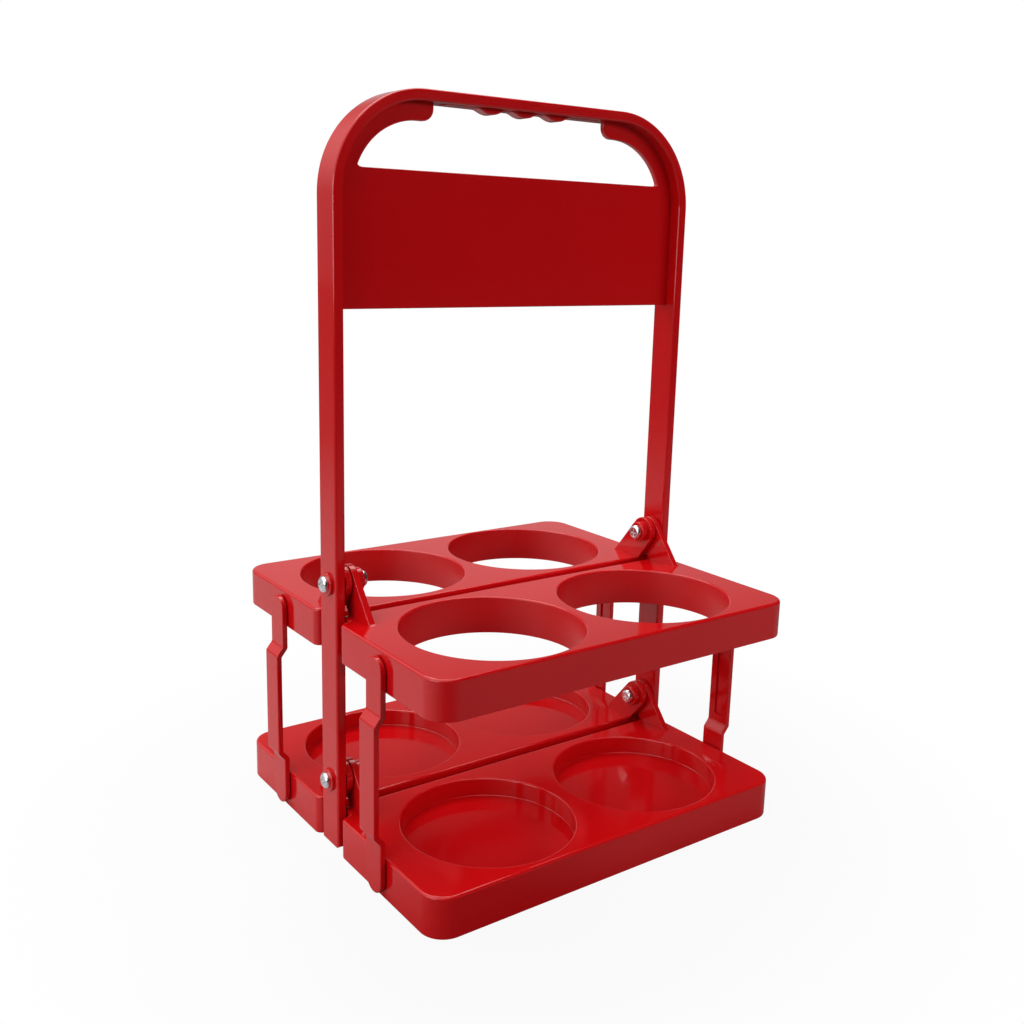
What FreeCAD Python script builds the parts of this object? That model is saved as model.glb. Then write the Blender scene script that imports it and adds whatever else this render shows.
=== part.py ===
import FreeCAD
import Part

import math
import os

from FreeCAD import Vector

# Folding carrier for four bottles, moulded in glossy plastic.
# A tall handle frame stands on the fold line. Two ring trays above and two base
# trays below are hinged on it with four through screws, and four cranked side
# links tie each ring tray to the base tray under it, so that each side turns up
# against the frame as one parallelogram.
# Millimetres. X runs along the fold line, -Y is the front, Z is up and the
# origin is on the floor in the middle of the footprint.

# Bottle openings and the tray plan around them
hole_r = 39.0            # ring of an upper tray
cup_r = 37.7             # recess of a lower tray
hole_bridge = 5.2        # material between the two openings of a tray
fold_margin = 7.2        # fold line to the edge of an opening
outer_margin = 2.5       # edge of an opening to the long outer side
end_margin = 13.55       # edge of an opening to the tray's end
tray_gap = 5.2           # between the front and rear trays when open
corner_r = 10.7          # outer plan corners
small_corner_r = 1.6     # corners beside the fold line

# Tray sections
upper_height = 16.75
lower_height = 17.8
wall = 2.4
deck = 2.6
cup_depth = 8.3
cup_floor = 2.2
rib_width = 1.8
top_edge = 1.0           # bevel round the top of a tray

# Hinge lines
fold_gap = 3.4           # folded upper tray above the folded lower tray
lower_rise = 13.4        # lower deck to its hinge line
upper_rise = 14.2        # upper deck to its hinge line
running_clearance = 0.05
part_gap = 0.3           # between pieces that turn past each other

# Hinge lugs, which stand on the decks against the frame legs
lug_thickness = 3.0
lug_eye_r = 7.0
lug_foot = 20.5          # foot of the slope, from the fold line
lug_foot_r = 3.0
lug_side_gap = 0.5
leg_side_gap = 0.4
lug_boss_r = 5.0
lug_boss_height = 3.6

# Handle frame
frame_set_in = 0.45      # outer face of the legs behind the tray ends
rim_thickness = 4.6
frame_depth = 14.7
frame_top = 320.0
frame_foot = 1.5
frame_corner_r = 42.0
frame_edge = 0.9
web_thickness = 3.0
hand_hole_drop = 31.3    # frame top to the panel's upper edge
panel_height = 55.5
hand_hole_arc_r = 30.1
hand_hole_corner_r = 3.0
tab_length = 6.7         # corner arc's centre to the tab's end
tab_r = 5.0
leg_boss_r = 5.0
leg_boss_height = 1.3
notch_half = 10.4        # tray notch around a leg
notch_r = 3.5

# Finger grip under the handle
grip_half_thickness = 3.2
grip_pitch = 17.3
grip_wave = 2.1
grip_cover = 0.25        # plastic under the rim in the valleys

# Side links
link_width = 12.2
link_thickness = 2.45
link_side_gap = 0.45
link_crank = 3.0
link_y = 45.1            # link pins from the fold line
link_drop = 23.2         # link pins below the hinge line
corner_slack = 0.01      # keeps the two arcs of a round end apart
head_length = 16.8       # pin to the start of the crank
crank_length = 3.75
groove_width = 4.4
groove_depth = 0.9
groove_inset = 4.0       # crank to the end of the groove
pin_r = 2.5
pin_past = 1.7           # pin's end past the wall
open_pin_clearance = 0.2

# Hinge screws and the barrel nuts that they turn into
head_r = 3.55
head_height = 2.0
barrel_r = 2.8
screw_r = 1.9
barrel_end_gap = 1.0
screw_reach = 12.0
bore_spare = 0.6         # depth of the barrel's bore past the screw

# Places that follow from the sizes above
hole_x = hole_r + hole_bridge / 2
hole_y = fold_margin + hole_r
tray_outer = hole_y + hole_r + outer_margin
tray_end = hole_x + hole_r + end_margin
tray_inner = tray_gap / 2
pivot_spacing = tray_outer - tray_inner + fold_gap
lower_axis_z = lower_height + lower_rise
upper_axis_z = lower_axis_z + pivot_spacing
upper_top_z = upper_axis_z - upper_rise
upper_bottom_z = upper_top_z - upper_height
frame_half = tray_end - frame_set_in
leg_inner = frame_half - rim_thickness
outer_lug = (leg_inner - leg_side_gap - lug_thickness, leg_inner - leg_side_gap)
inner_lug = (outer_lug[0] - lug_side_gap - lug_thickness, outer_lug[0] - lug_side_gap)
notch_wall = outer_lug[1]
arc_x = frame_half - frame_corner_r
arc_z = frame_top - frame_corner_r
rim_under = frame_top - rim_thickness
hand_hole_bottom = frame_top - hand_hole_drop
panel_bottom = hand_hole_bottom - panel_height
tab_end = arc_x - tab_length
screw_seat = frame_half + leg_boss_height
nut_seat = inner_lug[0] - lug_boss_height - part_gap


def vertical(x, y):
    """Point of a plan outline."""
    return Vector(x, y, 0)


def facing_front(x, z):
    """Point of an outline in the XZ plane."""
    return Vector(x, 0, z)


def facing_side(y, z):
    """Point of an outline in the YZ plane."""
    return Vector(0, y, z)


def outline(corners, place):
    """Closed wire through corners (u, v, r), each rounded with its own radius."""
    arcs = []
    for i, (u, v, r) in enumerate(corners):
        here = place(u, v)
        before = place(*corners[i - 1][:2]) - here
        after = place(*corners[(i + 1) % len(corners)][:2]) - here
        before.normalize()
        after.normalize()
        if r == 0:
            arcs.append((here, None, here))
            continue
        half = before.getAngle(after) / 2
        middle = before + after
        middle.normalize()
        reach = r / math.tan(half)
        near = middle * (r / math.sin(half) - r)
        arcs.append((here + before * reach, here + near, here + after * reach))
    edges = []
    for i, (start, middle, end) in enumerate(arcs):
        if middle is not None:
            edges.append(Part.Arc(start, middle, end).toShape())
        following = arcs[(i + 1) % len(arcs)][0]
        if end.distanceToPoint(following) > 1e-6:
            edges.append(Part.LineSegment(end, following).toShape())
    return Part.Wire(edges)


def prism(corners, place, along, low, high):
    """Solid between two places on the axis that an outline faces."""
    face = Part.Face(outline(corners, place))
    face.translate(along * low)
    return face.extrude(along * (high - low))


def plan_prism(corners, low, high):
    return prism(corners, vertical, Vector(0, 0, 1), low, high)


def front_prism(corners, low, high):
    return prism(corners, facing_front, Vector(0, 1, 0), low, high)


def side_prism(corners, low, high):
    return prism(corners, facing_side, Vector(1, 0, 0), low, high)


def box(low, high):
    """Box between two corners."""
    size = [b - a for a, b in zip(low, high)]
    return Part.makeBox(*size, Vector(*low))


def rod(radius, low, high, y, z):
    """Cylinder along X."""
    return Part.makeCylinder(radius, high - low, Vector(low, y, z), Vector(1, 0, 0))


def post(radius, x, y, low, high):
    """Cylinder along Z."""
    return Part.makeCylinder(radius, high - low, Vector(x, y, low))


def edges_where(shape, wanted):
    """Edges whose ends and middle all pass a test."""
    picked = []
    for edge in shape.Edges:
        points = [vertex.Point for vertex in edge.Vertexes]
        points.append(edge.valueAt((edge.FirstParameter + edge.LastParameter) / 2))
        if all(wanted(point) for point in points):
            picked.append(edge)
    return picked


def rounded(shape, radius, wanted):
    return shape.makeFillet(radius, edges_where(shape, wanted))


def beveled(shape, size, wanted):
    return shape.makeChamfer(size, edges_where(shape, wanted))


def at(value, place):
    return abs(value - place) < 1e-4


def turned_about_z(shape):
    """Copy of a piece, half a turn round the middle of the carrier."""
    copy = shape.copy()
    copy.rotate(Vector(0, 0, 0), Vector(0, 0, 1), 180)
    return copy


def tray_plan(inset=0.0):
    """Plan of a front tray, drawn inwards by a wall's thickness for its hollow."""
    side = tray_end - inset
    step = notch_wall - inset
    inner = tray_inner + inset
    notch = notch_half + inset
    outer = tray_outer - inset
    step_r = 0 if inset else small_corner_r
    side_r = 0 if inset else notch_r
    return [
        (-step, -inner, step_r),
        (-step, -notch, step_r),
        (-side, -notch, side_r),
        (-side, -outer, corner_r - inset),
        (side, -outer, corner_r - inset),
        (side, -notch, side_r),
        (step, -notch, step_r),
        (step, -inner, step_r),
    ]


def opening_centres():
    return [(-hole_x, -hole_y), (hole_x, -hole_y)]


def lug(x_range, deck_z, axis_z):
    """Hinge lug: a round eye on a triangular plate that slopes down its own tray."""
    eye = Vector(0, 0, axis_z)
    foot = Vector(0, -lug_foot, deck_z)
    heel = Vector(0, -tray_inner, deck_z)
    slope_top = tangent_point(foot, eye, -1)
    heel_top = tangent_point(heel, eye, 1)
    sunk = deck_z - deck / 2
    plate = side_prism(
        [
            (-lug_foot - lug_foot_r, sunk, 0),
            (-lug_foot - lug_foot_r, deck_z, 0),
            (foot.y, deck_z, lug_foot_r),
            (slope_top.y, slope_top.z, 0),
            (heel_top.y, heel_top.z, 0),
            (heel.y, deck_z, 0),
            (heel.y, sunk, 0),
        ],
        *x_range,
    )
    return plate.fuse(rod(lug_eye_r, *x_range, 0, axis_z))


def tangent_point(outside, centre, side):
    """Where the tangent from an outside point touches the eye, on the side asked for."""
    reach = outside - centre
    lean = math.acos(lug_eye_r / reach.Length)
    heading = math.atan2(reach.z, reach.y) + side * lean
    return centre + Vector(0, math.cos(heading), math.sin(heading)) * lug_eye_r


def under_ribs(low, high):
    """Ribs in a tray's hollow: one under each lug and one between the openings."""
    ribs = []
    for lug_range in (inner_lug, outer_lug):
        middle = sum(lug_range) / 2
        for x in (-middle, middle):
            ribs.append(box((x - rib_width / 2, -lug_foot - wall, low), (x + rib_width / 2, -tray_inner, high)))
    ribs.append(box((-rib_width / 2, -tray_outer, low), (rib_width / 2, -tray_inner, high)))
    return ribs


def tray_shell(bottom, top):
    """Outer body of a front tray, solid, with its top edges beveled."""
    body = plan_prism(tray_plan(), bottom, top)
    return beveled(body, top_edge, lambda point: at(point.z, top))


def add_hinges_and_pins(body, deck_z, axis_z, pin_clearance):
    """Lugs, their boss, the screw bores and the two end holes for the link pins."""
    boss = rod(lug_boss_r, -inner_lug[0], -inner_lug[0] + lug_boss_height, 0, axis_z)
    left = lug((-inner_lug[1], -inner_lug[0]), deck_z, axis_z)
    right = lug(outer_lug, deck_z, axis_z)
    body = body.fuse([left, right, boss])
    bore = rod(barrel_r + running_clearance, -tray_end, tray_end, 0, axis_z)
    pins = [
        rod(pin_r + pin_clearance, x, x + 2 * wall, -link_y, axis_z - link_drop)
        for x in (-tray_end - wall / 2, tray_end - 1.5 * wall)
    ]
    return body.cut([bore, *pins]).removeSplitter()


def upper_tray():
    """Front ring tray: a deck with a skirt, and a short tube round each opening."""
    body = tray_shell(upper_bottom_z, upper_top_z)
    under = upper_top_z - deck
    hollow = plan_prism(tray_plan(wall), upper_bottom_z, under)
    kept = [post(hole_r + wall, x, y, upper_bottom_z, under) for x, y in opening_centres()]
    kept += under_ribs(upper_bottom_z, under)
    holes = [post(hole_r, x, y, upper_bottom_z, upper_top_z) for x, y in opening_centres()]
    body = body.cut([hollow.cut(kept), *holes])
    return add_hinges_and_pins(body, upper_top_z, upper_axis_z, running_clearance)


def lower_tray():
    """Front base tray: the same plan, with a shallow recess for each bottle."""
    body = tray_shell(0, lower_height)
    under = lower_height - deck
    floor_z = lower_height - cup_depth
    hollow = plan_prism(tray_plan(wall), 0, under)
    kept = [post(cup_r + wall, x, y, floor_z - cup_floor, under) for x, y in opening_centres()]
    kept += under_ribs(0, under)
    cups = [post(cup_r, x, y, floor_z, lower_height) for x, y in opening_centres()]
    body = body.cut([hollow.cut(kept), *cups])
    return add_hinges_and_pins(body, lower_height, lower_axis_z, open_pin_clearance)


def frame_rim():
    """Upright band of the frame: two legs and the handle bar in one bent strip."""
    half = frame_depth / 2
    inner_r = frame_corner_r - rim_thickness
    outer = [
        (-frame_half, frame_foot, 0),
        (-frame_half, frame_top, frame_corner_r),
        (frame_half, frame_top, frame_corner_r),
        (frame_half, frame_foot, 0),
        (leg_inner, frame_foot, 0),
        (leg_inner, rim_under, inner_r),
        (-leg_inner, rim_under, inner_r),
        (-leg_inner, frame_foot, 0),
    ]
    band = front_prism(outer, -half, half)
    return beveled(band, frame_edge, lambda point: at(abs(point.y), half))


def hand_hole():
    """Cutter for the hand hole, with the two tabs left standing beside the grip."""
    past = web_thickness
    arch_half = arc_x + hand_hole_arc_r
    arch_top = arc_z + hand_hole_arc_r
    arch = front_prism(
        [
            (-arch_half, panel_bottom, 0),
            (-arch_half, arch_top, hand_hole_arc_r),
            (arch_half, arch_top, hand_hole_arc_r),
            (arch_half, panel_bottom, 0),
        ],
        -past,
        past,
    )
    arch = arch.cut(box((-arch_half, -past, panel_bottom), (arch_half, past, hand_hole_bottom)))
    arch = rounded(
        arch,
        hand_hole_corner_r,
        lambda point: at(point.z, hand_hole_bottom) and abs(point.x) > arc_x,
    )
    slot = box((-tab_end, -past, arch_top - tab_r), (tab_end, past, frame_top))
    hole = arch.fuse(slot).removeSplitter()
    return rounded(hole, tab_r, lambda point: at(point.z, arch_top) and at(abs(point.x), tab_end))


def frame_web():
    """Thin web of the frame: the panel, the two upper corners and their tabs."""
    half = web_thickness / 2
    seat = rim_thickness / 2
    web = front_prism(
        [
            (-leg_inner - seat, panel_bottom, 0),
            (-leg_inner - seat, rim_under + seat, frame_corner_r - seat),
            (leg_inner + seat, rim_under + seat, frame_corner_r - seat),
            (leg_inner + seat, panel_bottom, 0),
        ],
        -half,
        half,
    )
    return web.cut(hand_hole())


def finger_grip():
    """Grip on the underside of the handle bar, waved with arcs for three fingers."""
    top_z = rim_under + rim_thickness / 2
    flat_z = rim_under - grip_cover
    half_end = tab_end - tab_r
    quarter = grip_pitch / 4
    sag = grip_wave / 2
    wave_r = (quarter**2 + sag**2) / grip_wave
    slope = math.tan(2 * math.atan2(sag, quarter))
    middle_z = flat_z - sag
    crest = grip_pitch / 4 * slope
    wave_end = grip_pitch + quarter + sag / slope
    corners = [(-half_end, flat_z, 0), (-wave_end, flat_z, wave_r)]
    for step in range(-2, 3):
        lift = crest if step % 2 else -crest
        corners.append((step * grip_pitch / 2, middle_z + lift, wave_r))
    corners += [(wave_end, flat_z, wave_r), (half_end, flat_z, 0)]
    corners += [(half_end, top_z, 0), (-half_end, top_z, 0)]
    return front_prism(corners, -grip_half_thickness, grip_half_thickness)


def handle_frame():
    """Frame in one moulding, with a round seat for the screw head on each leg."""
    frame = frame_rim().fuse([frame_web(), finger_grip()])
    bosses = []
    bores = []
    for z in (lower_axis_z, upper_axis_z):
        bosses.append(rod(leg_boss_r, frame_half - rim_thickness / 2, screw_seat, 0, z))
        bosses.append(rod(leg_boss_r, -screw_seat, -frame_half + rim_thickness / 2, 0, z))
        bores.append(rod(barrel_r + running_clearance, -screw_seat, screw_seat, 0, z))
    return frame.fuse(bosses).cut(bores).removeSplitter()


def side_link():
    """Front link of the right-hand end: a cranked strip with a pin at each end."""
    head = tray_end + link_side_gap
    out = head + link_thickness
    low_pin = lower_axis_z - link_drop
    high_pin = upper_axis_z - link_drop
    round_r = link_width / 2
    bottom = low_pin - round_r
    top = high_pin + round_r
    low_bend = low_pin + head_length
    high_bend = high_pin - head_length
    shift = link_thickness * math.tan(math.atan2(link_crank, crank_length) / 2)
    inner_low = low_bend + shift
    inner_high = high_bend - shift
    sides = (-link_y - round_r, -link_y + round_r)
    strip = front_prism(
        [
            (head, bottom, 0),
            (out, bottom, 0),
            (out, low_bend, 0),
            (out + link_crank, low_bend + crank_length, 0),
            (out + link_crank, high_bend - crank_length, 0),
            (out, high_bend, 0),
            (out, top, 0),
            (head, top, 0),
            (head, inner_high, 0),
            (head + link_crank, inner_high - crank_length, 0),
            (head + link_crank, inner_low + crank_length, 0),
            (head, inner_low, 0),
        ],
        *sides,
    )
    end_r = round_r - corner_slack
    ends = [(y, z, end_r) for y, z in zip(sides + sides[::-1], (bottom, bottom, top, top))]
    strip = strip.common(side_prism(ends, head, out + link_crank))
    groove = box(
        (head, -link_y - groove_width / 2, inner_low + crank_length + groove_inset),
        (
            head + link_crank + groove_depth,
            -link_y + groove_width / 2,
            inner_high - crank_length - groove_inset,
        ),
    )
    pins = [link_pin(head, z) for z in (low_pin, high_pin)]
    return strip.cut(groove).fuse(pins).removeSplitter()


def link_pin(head, z):
    """Pin of a link, which passes through a tray's end wall."""
    return rod(pin_r, tray_end - wall - pin_past, head + link_thickness / 2, -link_y, z)


def pivot_screw(z):
    """Right-hand hinge screw: its head on the leg's boss, its shank in the barrel."""
    head = rod(head_r, screw_seat, screw_seat + head_height, 0, z)
    return head.fuse(rod(screw_r, screw_seat - screw_reach, screw_seat, 0, z))


def barrel_nut(z):
    """Right-hand barrel nut: the plain shaft that the lugs turn on, headed inside."""
    end = screw_seat - barrel_end_gap
    head = rod(head_r, nut_seat - head_height, nut_seat, 0, z)
    barrel = rod(barrel_r, nut_seat, end, 0, z)
    bore_end = screw_seat - screw_reach - bore_spare
    return head.fuse(barrel).cut(rod(screw_r + running_clearance, bore_end, end, 0, z))


def build():
    """All the pieces of the carrier by name, open and standing."""
    pieces = {"handle_frame": handle_frame()}
    for name, tray in (("upper_tray", upper_tray()), ("lower_tray", lower_tray())):
        pieces[name + "_front"] = tray
        pieces[name + "_rear"] = turned_about_z(tray)
    front_right = side_link()
    rear_left = turned_about_z(front_right)
    across = Vector(0, 2 * link_y, 0)
    pieces["link_front_right"] = front_right
    pieces["link_rear_left"] = rear_left
    pieces["link_rear_right"] = front_right.translated(across)
    pieces["link_front_left"] = rear_left.translated(across * -1)
    for level, z in (("lower", lower_axis_z), ("upper", upper_axis_z)):
        screw = pivot_screw(z)
        nut = barrel_nut(z)
        pieces["pivot_screw_" + level + "_right"] = screw
        pieces["pivot_screw_" + level + "_left"] = turned_about_z(screw)
        pieces["barrel_nut_" + level + "_right"] = nut
        pieces["barrel_nut_" + level + "_left"] = turned_about_z(nut)
    return pieces


def main():
    os.makedirs("parts", exist_ok=True)
    for name, shape in build().items():
        shape.exportStep(os.path.join("parts", name + ".step"))
        print(name, "valid", shape.isValid(), "solids", len(shape.Solids), "mm3", round(shape.Volume, 1))


main()
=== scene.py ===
"""Dresses the folding four-bottle carrier: glossy moulded plastic with bright screw heads."""

import logging
import math
from collections.abc import Callable, Iterable
from dataclasses import dataclass, field
from enum import Enum

import bpy
from mathutils import Matrix, Vector


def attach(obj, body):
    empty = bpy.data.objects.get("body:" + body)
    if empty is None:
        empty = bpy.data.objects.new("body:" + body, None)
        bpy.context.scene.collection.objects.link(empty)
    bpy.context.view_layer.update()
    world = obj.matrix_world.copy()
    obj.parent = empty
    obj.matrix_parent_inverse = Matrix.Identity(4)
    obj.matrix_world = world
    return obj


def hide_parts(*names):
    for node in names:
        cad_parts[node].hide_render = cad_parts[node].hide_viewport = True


log = logging.getLogger("carrier")
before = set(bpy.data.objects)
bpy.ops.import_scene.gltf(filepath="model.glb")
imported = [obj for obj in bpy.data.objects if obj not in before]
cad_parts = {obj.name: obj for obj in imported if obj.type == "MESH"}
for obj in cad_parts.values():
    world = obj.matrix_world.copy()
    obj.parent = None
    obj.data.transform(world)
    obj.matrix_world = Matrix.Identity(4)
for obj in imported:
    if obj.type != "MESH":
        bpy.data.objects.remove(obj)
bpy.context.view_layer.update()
MM = 0.001

# Steps round a circle, finer where the circle is larger
OPENING_STEPS = 144
EYE_STEPS = 72
SEAT_STEPS = 56
BAR_STEPS = 48

# A cutter reaches this far past what it cuts, in millimetres
PAST = 1.0
WELL_PAST = 5.0
THROUGH = 100.0

# Finishing of a mesh
SMOOTH_BELOW = 35.0
FLAT_WITHIN = 0.5
MERGE_WITHIN = 1e-6
FLAT_FACE_WEIGHT = 50

Point = tuple[float, float, float]
Test = Callable[[Vector], bool]


class Axis(Enum):
    """Direction that a round primitive stands along."""

    X = (0.0, math.pi / 2, 0.0)
    Z = (0.0, 0.0, 0.0)


class Join(Enum):
    """How one solid is worked into another."""

    UNION = "UNION"
    CUT = "DIFFERENCE"


class Slot(Enum):
    """Material slots of the record."""

    PLASTIC = "red_plastic"
    CHROME = "screw_chrome"


# Workshop


def let_go() -> None:
    """Leaves edit mode and deselects every object."""
    if bpy.context.object and bpy.context.object.mode != "OBJECT":
        bpy.ops.object.mode_set(mode="OBJECT")
    bpy.ops.object.select_all(action="DESELECT")


def hold(piece: bpy.types.Object) -> None:
    """Makes one object the only one selected."""
    let_go()
    piece.select_set(True)
    bpy.context.view_layer.objects.active = piece


def settle(piece: bpy.types.Object) -> bpy.types.Object:
    """Moves a piece's place into its mesh.

    Args:
        piece: The object whose transform is applied.

    Returns:
        The same object, at the origin.
    """
    hold(piece)
    bpy.ops.object.transform_apply(location=True, rotation=True, scale=True)
    return piece


def block(name: str, low: Point, high: Point) -> bpy.types.Object:
    """Adds a box between two corners.

    Args:
        name: Name of the object.
        low: Lowest corner in millimetres.
        high: Highest corner in millimetres.

    Returns:
        The box, with its place in its mesh.
    """
    let_go()
    centre = [(a + b) / 2 * MM for a, b in zip(low, high)]
    bpy.ops.mesh.primitive_cube_add(size=1, location=centre)
    piece = bpy.context.object
    piece.name = name
    piece.scale = [(b - a) * MM for a, b in zip(low, high)]
    return settle(piece)


def rod(name: str, radius: float, low: float, high: float, centre: tuple[float, float],
        axis: Axis = Axis.X, sides: int = BAR_STEPS) -> bpy.types.Object:
    """Adds a round bar along an axis.

    Args:
        name: Name of the object.
        radius: Radius in millimetres.
        low: Where the bar starts on its axis.
        high: Where it ends.
        centre: The two other coordinates of its middle line, in their order.
        axis: Direction of the bar.
        sides: Number of flats.

    Returns:
        The bar, with its place in its mesh.
    """
    let_go()
    middle = (low + high) / 2
    u, v = centre
    place = (middle, u, v) if axis is Axis.X else (u, v, middle)
    bpy.ops.mesh.primitive_cylinder_add(
        vertices=sides, radius=radius * MM, depth=(high - low) * MM,
        location=[c * MM for c in place], rotation=axis.value)
    piece = bpy.context.object
    piece.name = name
    return settle(piece)


def pick_edges(piece: bpy.types.Object, wanted: Test) -> int:
    """Enters edit mode with the edges selected whose ends and middle all pass a test.

    Args:
        piece: The object to work on.
        wanted: Test of a point in millimetres.

    Returns:
        The number of edges selected.
    """
    hold(piece)
    bpy.ops.object.mode_set(mode="EDIT")
    bpy.ops.mesh.select_mode(type="EDGE")
    bpy.ops.mesh.select_all(action="DESELECT")
    bpy.ops.object.mode_set(mode="OBJECT")
    mesh = piece.data
    good = [wanted(v.co / MM) for v in mesh.vertices]
    count = 0
    for edge in mesh.edges:
        a, b = edge.vertices
        middle = (mesh.vertices[a].co + mesh.vertices[b].co) / 2 / MM
        chosen = good[a] and good[b] and wanted(middle)
        edge.select = chosen
        count += chosen
    bpy.ops.object.mode_set(mode="EDIT")
    return count


def pick_faces(piece: bpy.types.Object, wanted: Test) -> None:
    """Enters edit mode with the faces selected whose middle passes a test in millimetres."""
    hold(piece)
    bpy.ops.object.mode_set(mode="EDIT")
    bpy.ops.mesh.select_mode(type="FACE")
    bpy.ops.mesh.select_all(action="DESELECT")
    bpy.ops.object.mode_set(mode="OBJECT")
    for face in piece.data.polygons:
        face.select = wanted(face.center / MM)
    bpy.ops.object.mode_set(mode="EDIT")


def soften(piece: bpy.types.Object, size: float, segments: int, wanted: Test) -> bpy.types.Object:
    """Rounds picked edges in edit mode.

    Args:
        piece: The object to work on.
        size: Width of the rounding in millimetres.
        segments: Steps across the rounding.
        wanted: Test of the edges' ends, in millimetres.

    Returns:
        The same object.
    """
    if pick_edges(piece, wanted):
        bpy.ops.mesh.bevel(offset=size * MM, offset_type="OFFSET", segments=segments,
                           profile=0.5, affect="EDGES", clamp_overlap=False)
    bpy.ops.object.mode_set(mode="OBJECT")
    return piece


def soften_all(piece: bpy.types.Object, size: float, segments: int,
               angle: float) -> bpy.types.Object:
    """Rounds every sharp edge with an applied Bevel modifier.

    Args:
        piece: The object to work on.
        size: Width of the rounding in millimetres.
        segments: Steps across the rounding.
        angle: Smallest edge angle that is rounded, in degrees.

    Returns:
        The same object.
    """
    hold(piece)
    bevel = piece.modifiers.new("edge", "BEVEL")
    bevel.width = size * MM
    bevel.segments = segments
    bevel.limit_method = "ANGLE"
    bevel.angle_limit = math.radians(angle)
    bevel.use_clamp_overlap = True
    bpy.ops.object.modifier_apply(modifier=bevel.name)
    return piece


def work_in(piece: bpy.types.Object, other: bpy.types.Object, how: Join) -> bpy.types.Object:
    """Joins or cuts one solid with another, which is used up.

    Args:
        piece: The solid that stays.
        other: The solid that is used up.
        how: Union or cut.

    Returns:
        The first solid.
    """
    hold(piece)
    boolean = piece.modifiers.new("work", "BOOLEAN")
    boolean.operation = how.value
    boolean.solver = "EXACT"
    boolean.object = other
    bpy.ops.object.modifier_apply(modifier=boolean.name)
    mesh = other.data
    bpy.data.objects.remove(other)
    bpy.data.meshes.remove(mesh)
    return piece


def cut_all(piece: bpy.types.Object, cutters: Iterable[bpy.types.Object]) -> bpy.types.Object:
    """Cuts a solid with several others."""
    for cutter in cutters:
        work_in(piece, cutter, Join.CUT)
    return piece


def add_all(piece: bpy.types.Object, others: Iterable[bpy.types.Object]) -> bpy.types.Object:
    """Joins several solids to one."""
    for other in others:
        work_in(piece, other, Join.UNION)
    return piece


def hull_of(piece: bpy.types.Object, other: bpy.types.Object) -> bpy.types.Object:
    """Stretches a skin over two solids, as one plate without edges in its flats.

    Args:
        piece: The solid that stays and becomes the plate.
        other: The solid that is used up.

    Returns:
        The plate.
    """
    hold(piece)
    other.select_set(True)
    bpy.ops.object.join()
    bpy.ops.object.mode_set(mode="EDIT")
    bpy.ops.mesh.select_all(action="SELECT")
    bpy.ops.mesh.convex_hull()
    bpy.ops.mesh.select_all(action="SELECT")
    bpy.ops.mesh.dissolve_limited(angle_limit=math.radians(FLAT_WITHIN))
    bpy.ops.object.mode_set(mode="OBJECT")
    return piece


def trim(piece: bpy.types.Object, place: Point, away: Point) -> bpy.types.Object:
    """Cuts a solid along a plane and closes it.

    Args:
        piece: The solid.
        place: A point of the plane in millimetres.
        away: The plane's normal, on the side that is taken off.

    Returns:
        The same object.
    """
    hold(piece)
    bpy.ops.object.mode_set(mode="EDIT")
    bpy.ops.mesh.select_all(action="SELECT")
    bpy.ops.mesh.bisect(plane_co=[c * MM for c in place], plane_no=away,
                        use_fill=True, clear_outer=True)
    bpy.ops.object.mode_set(mode="OBJECT")
    return piece


def copy_of(piece: bpy.types.Object, name: str, move: Matrix) -> bpy.types.Object:
    """Copies a piece with a mesh of its own.

    Args:
        piece: The piece to copy.
        name: Name of the copy.
        move: Where the copy goes, worked into its mesh.

    Returns:
        The copy.
    """
    hold(piece)
    bpy.ops.object.duplicate(linked=False)
    copy = bpy.context.object
    copy.name = name
    copy.matrix_world = move
    return settle(copy)


def polish(piece: bpy.types.Object) -> bpy.types.Object:
    """Cleans a finished mesh and gives it smooth roundings beside true flats.

    Args:
        piece: The finished piece.

    Returns:
        The same object.
    """
    hold(piece)
    bpy.ops.object.mode_set(mode="EDIT")
    bpy.ops.mesh.select_all(action="SELECT")
    bpy.ops.mesh.remove_doubles(threshold=MERGE_WITHIN)
    bpy.ops.mesh.select_all(action="DESELECT")
    bpy.ops.object.mode_set(mode="OBJECT")
    bpy.ops.object.shade_smooth_by_angle(angle=math.radians(SMOOTH_BELOW))
    weighted = piece.modifiers.new("flats", "WEIGHTED_NORMAL")
    weighted.keep_sharp = True
    weighted.weight = FLAT_FACE_WEIGHT
    bpy.ops.object.modifier_apply(modifier=weighted.name)
    return piece


HALF_TURN = Matrix.Rotation(math.pi, 4, "Z")


def near(a: float, b: float, slack: float = 0.02) -> bool:
    """Whether two lengths in millimetres agree."""
    return abs(a - b) < slack


# Finishes


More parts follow.
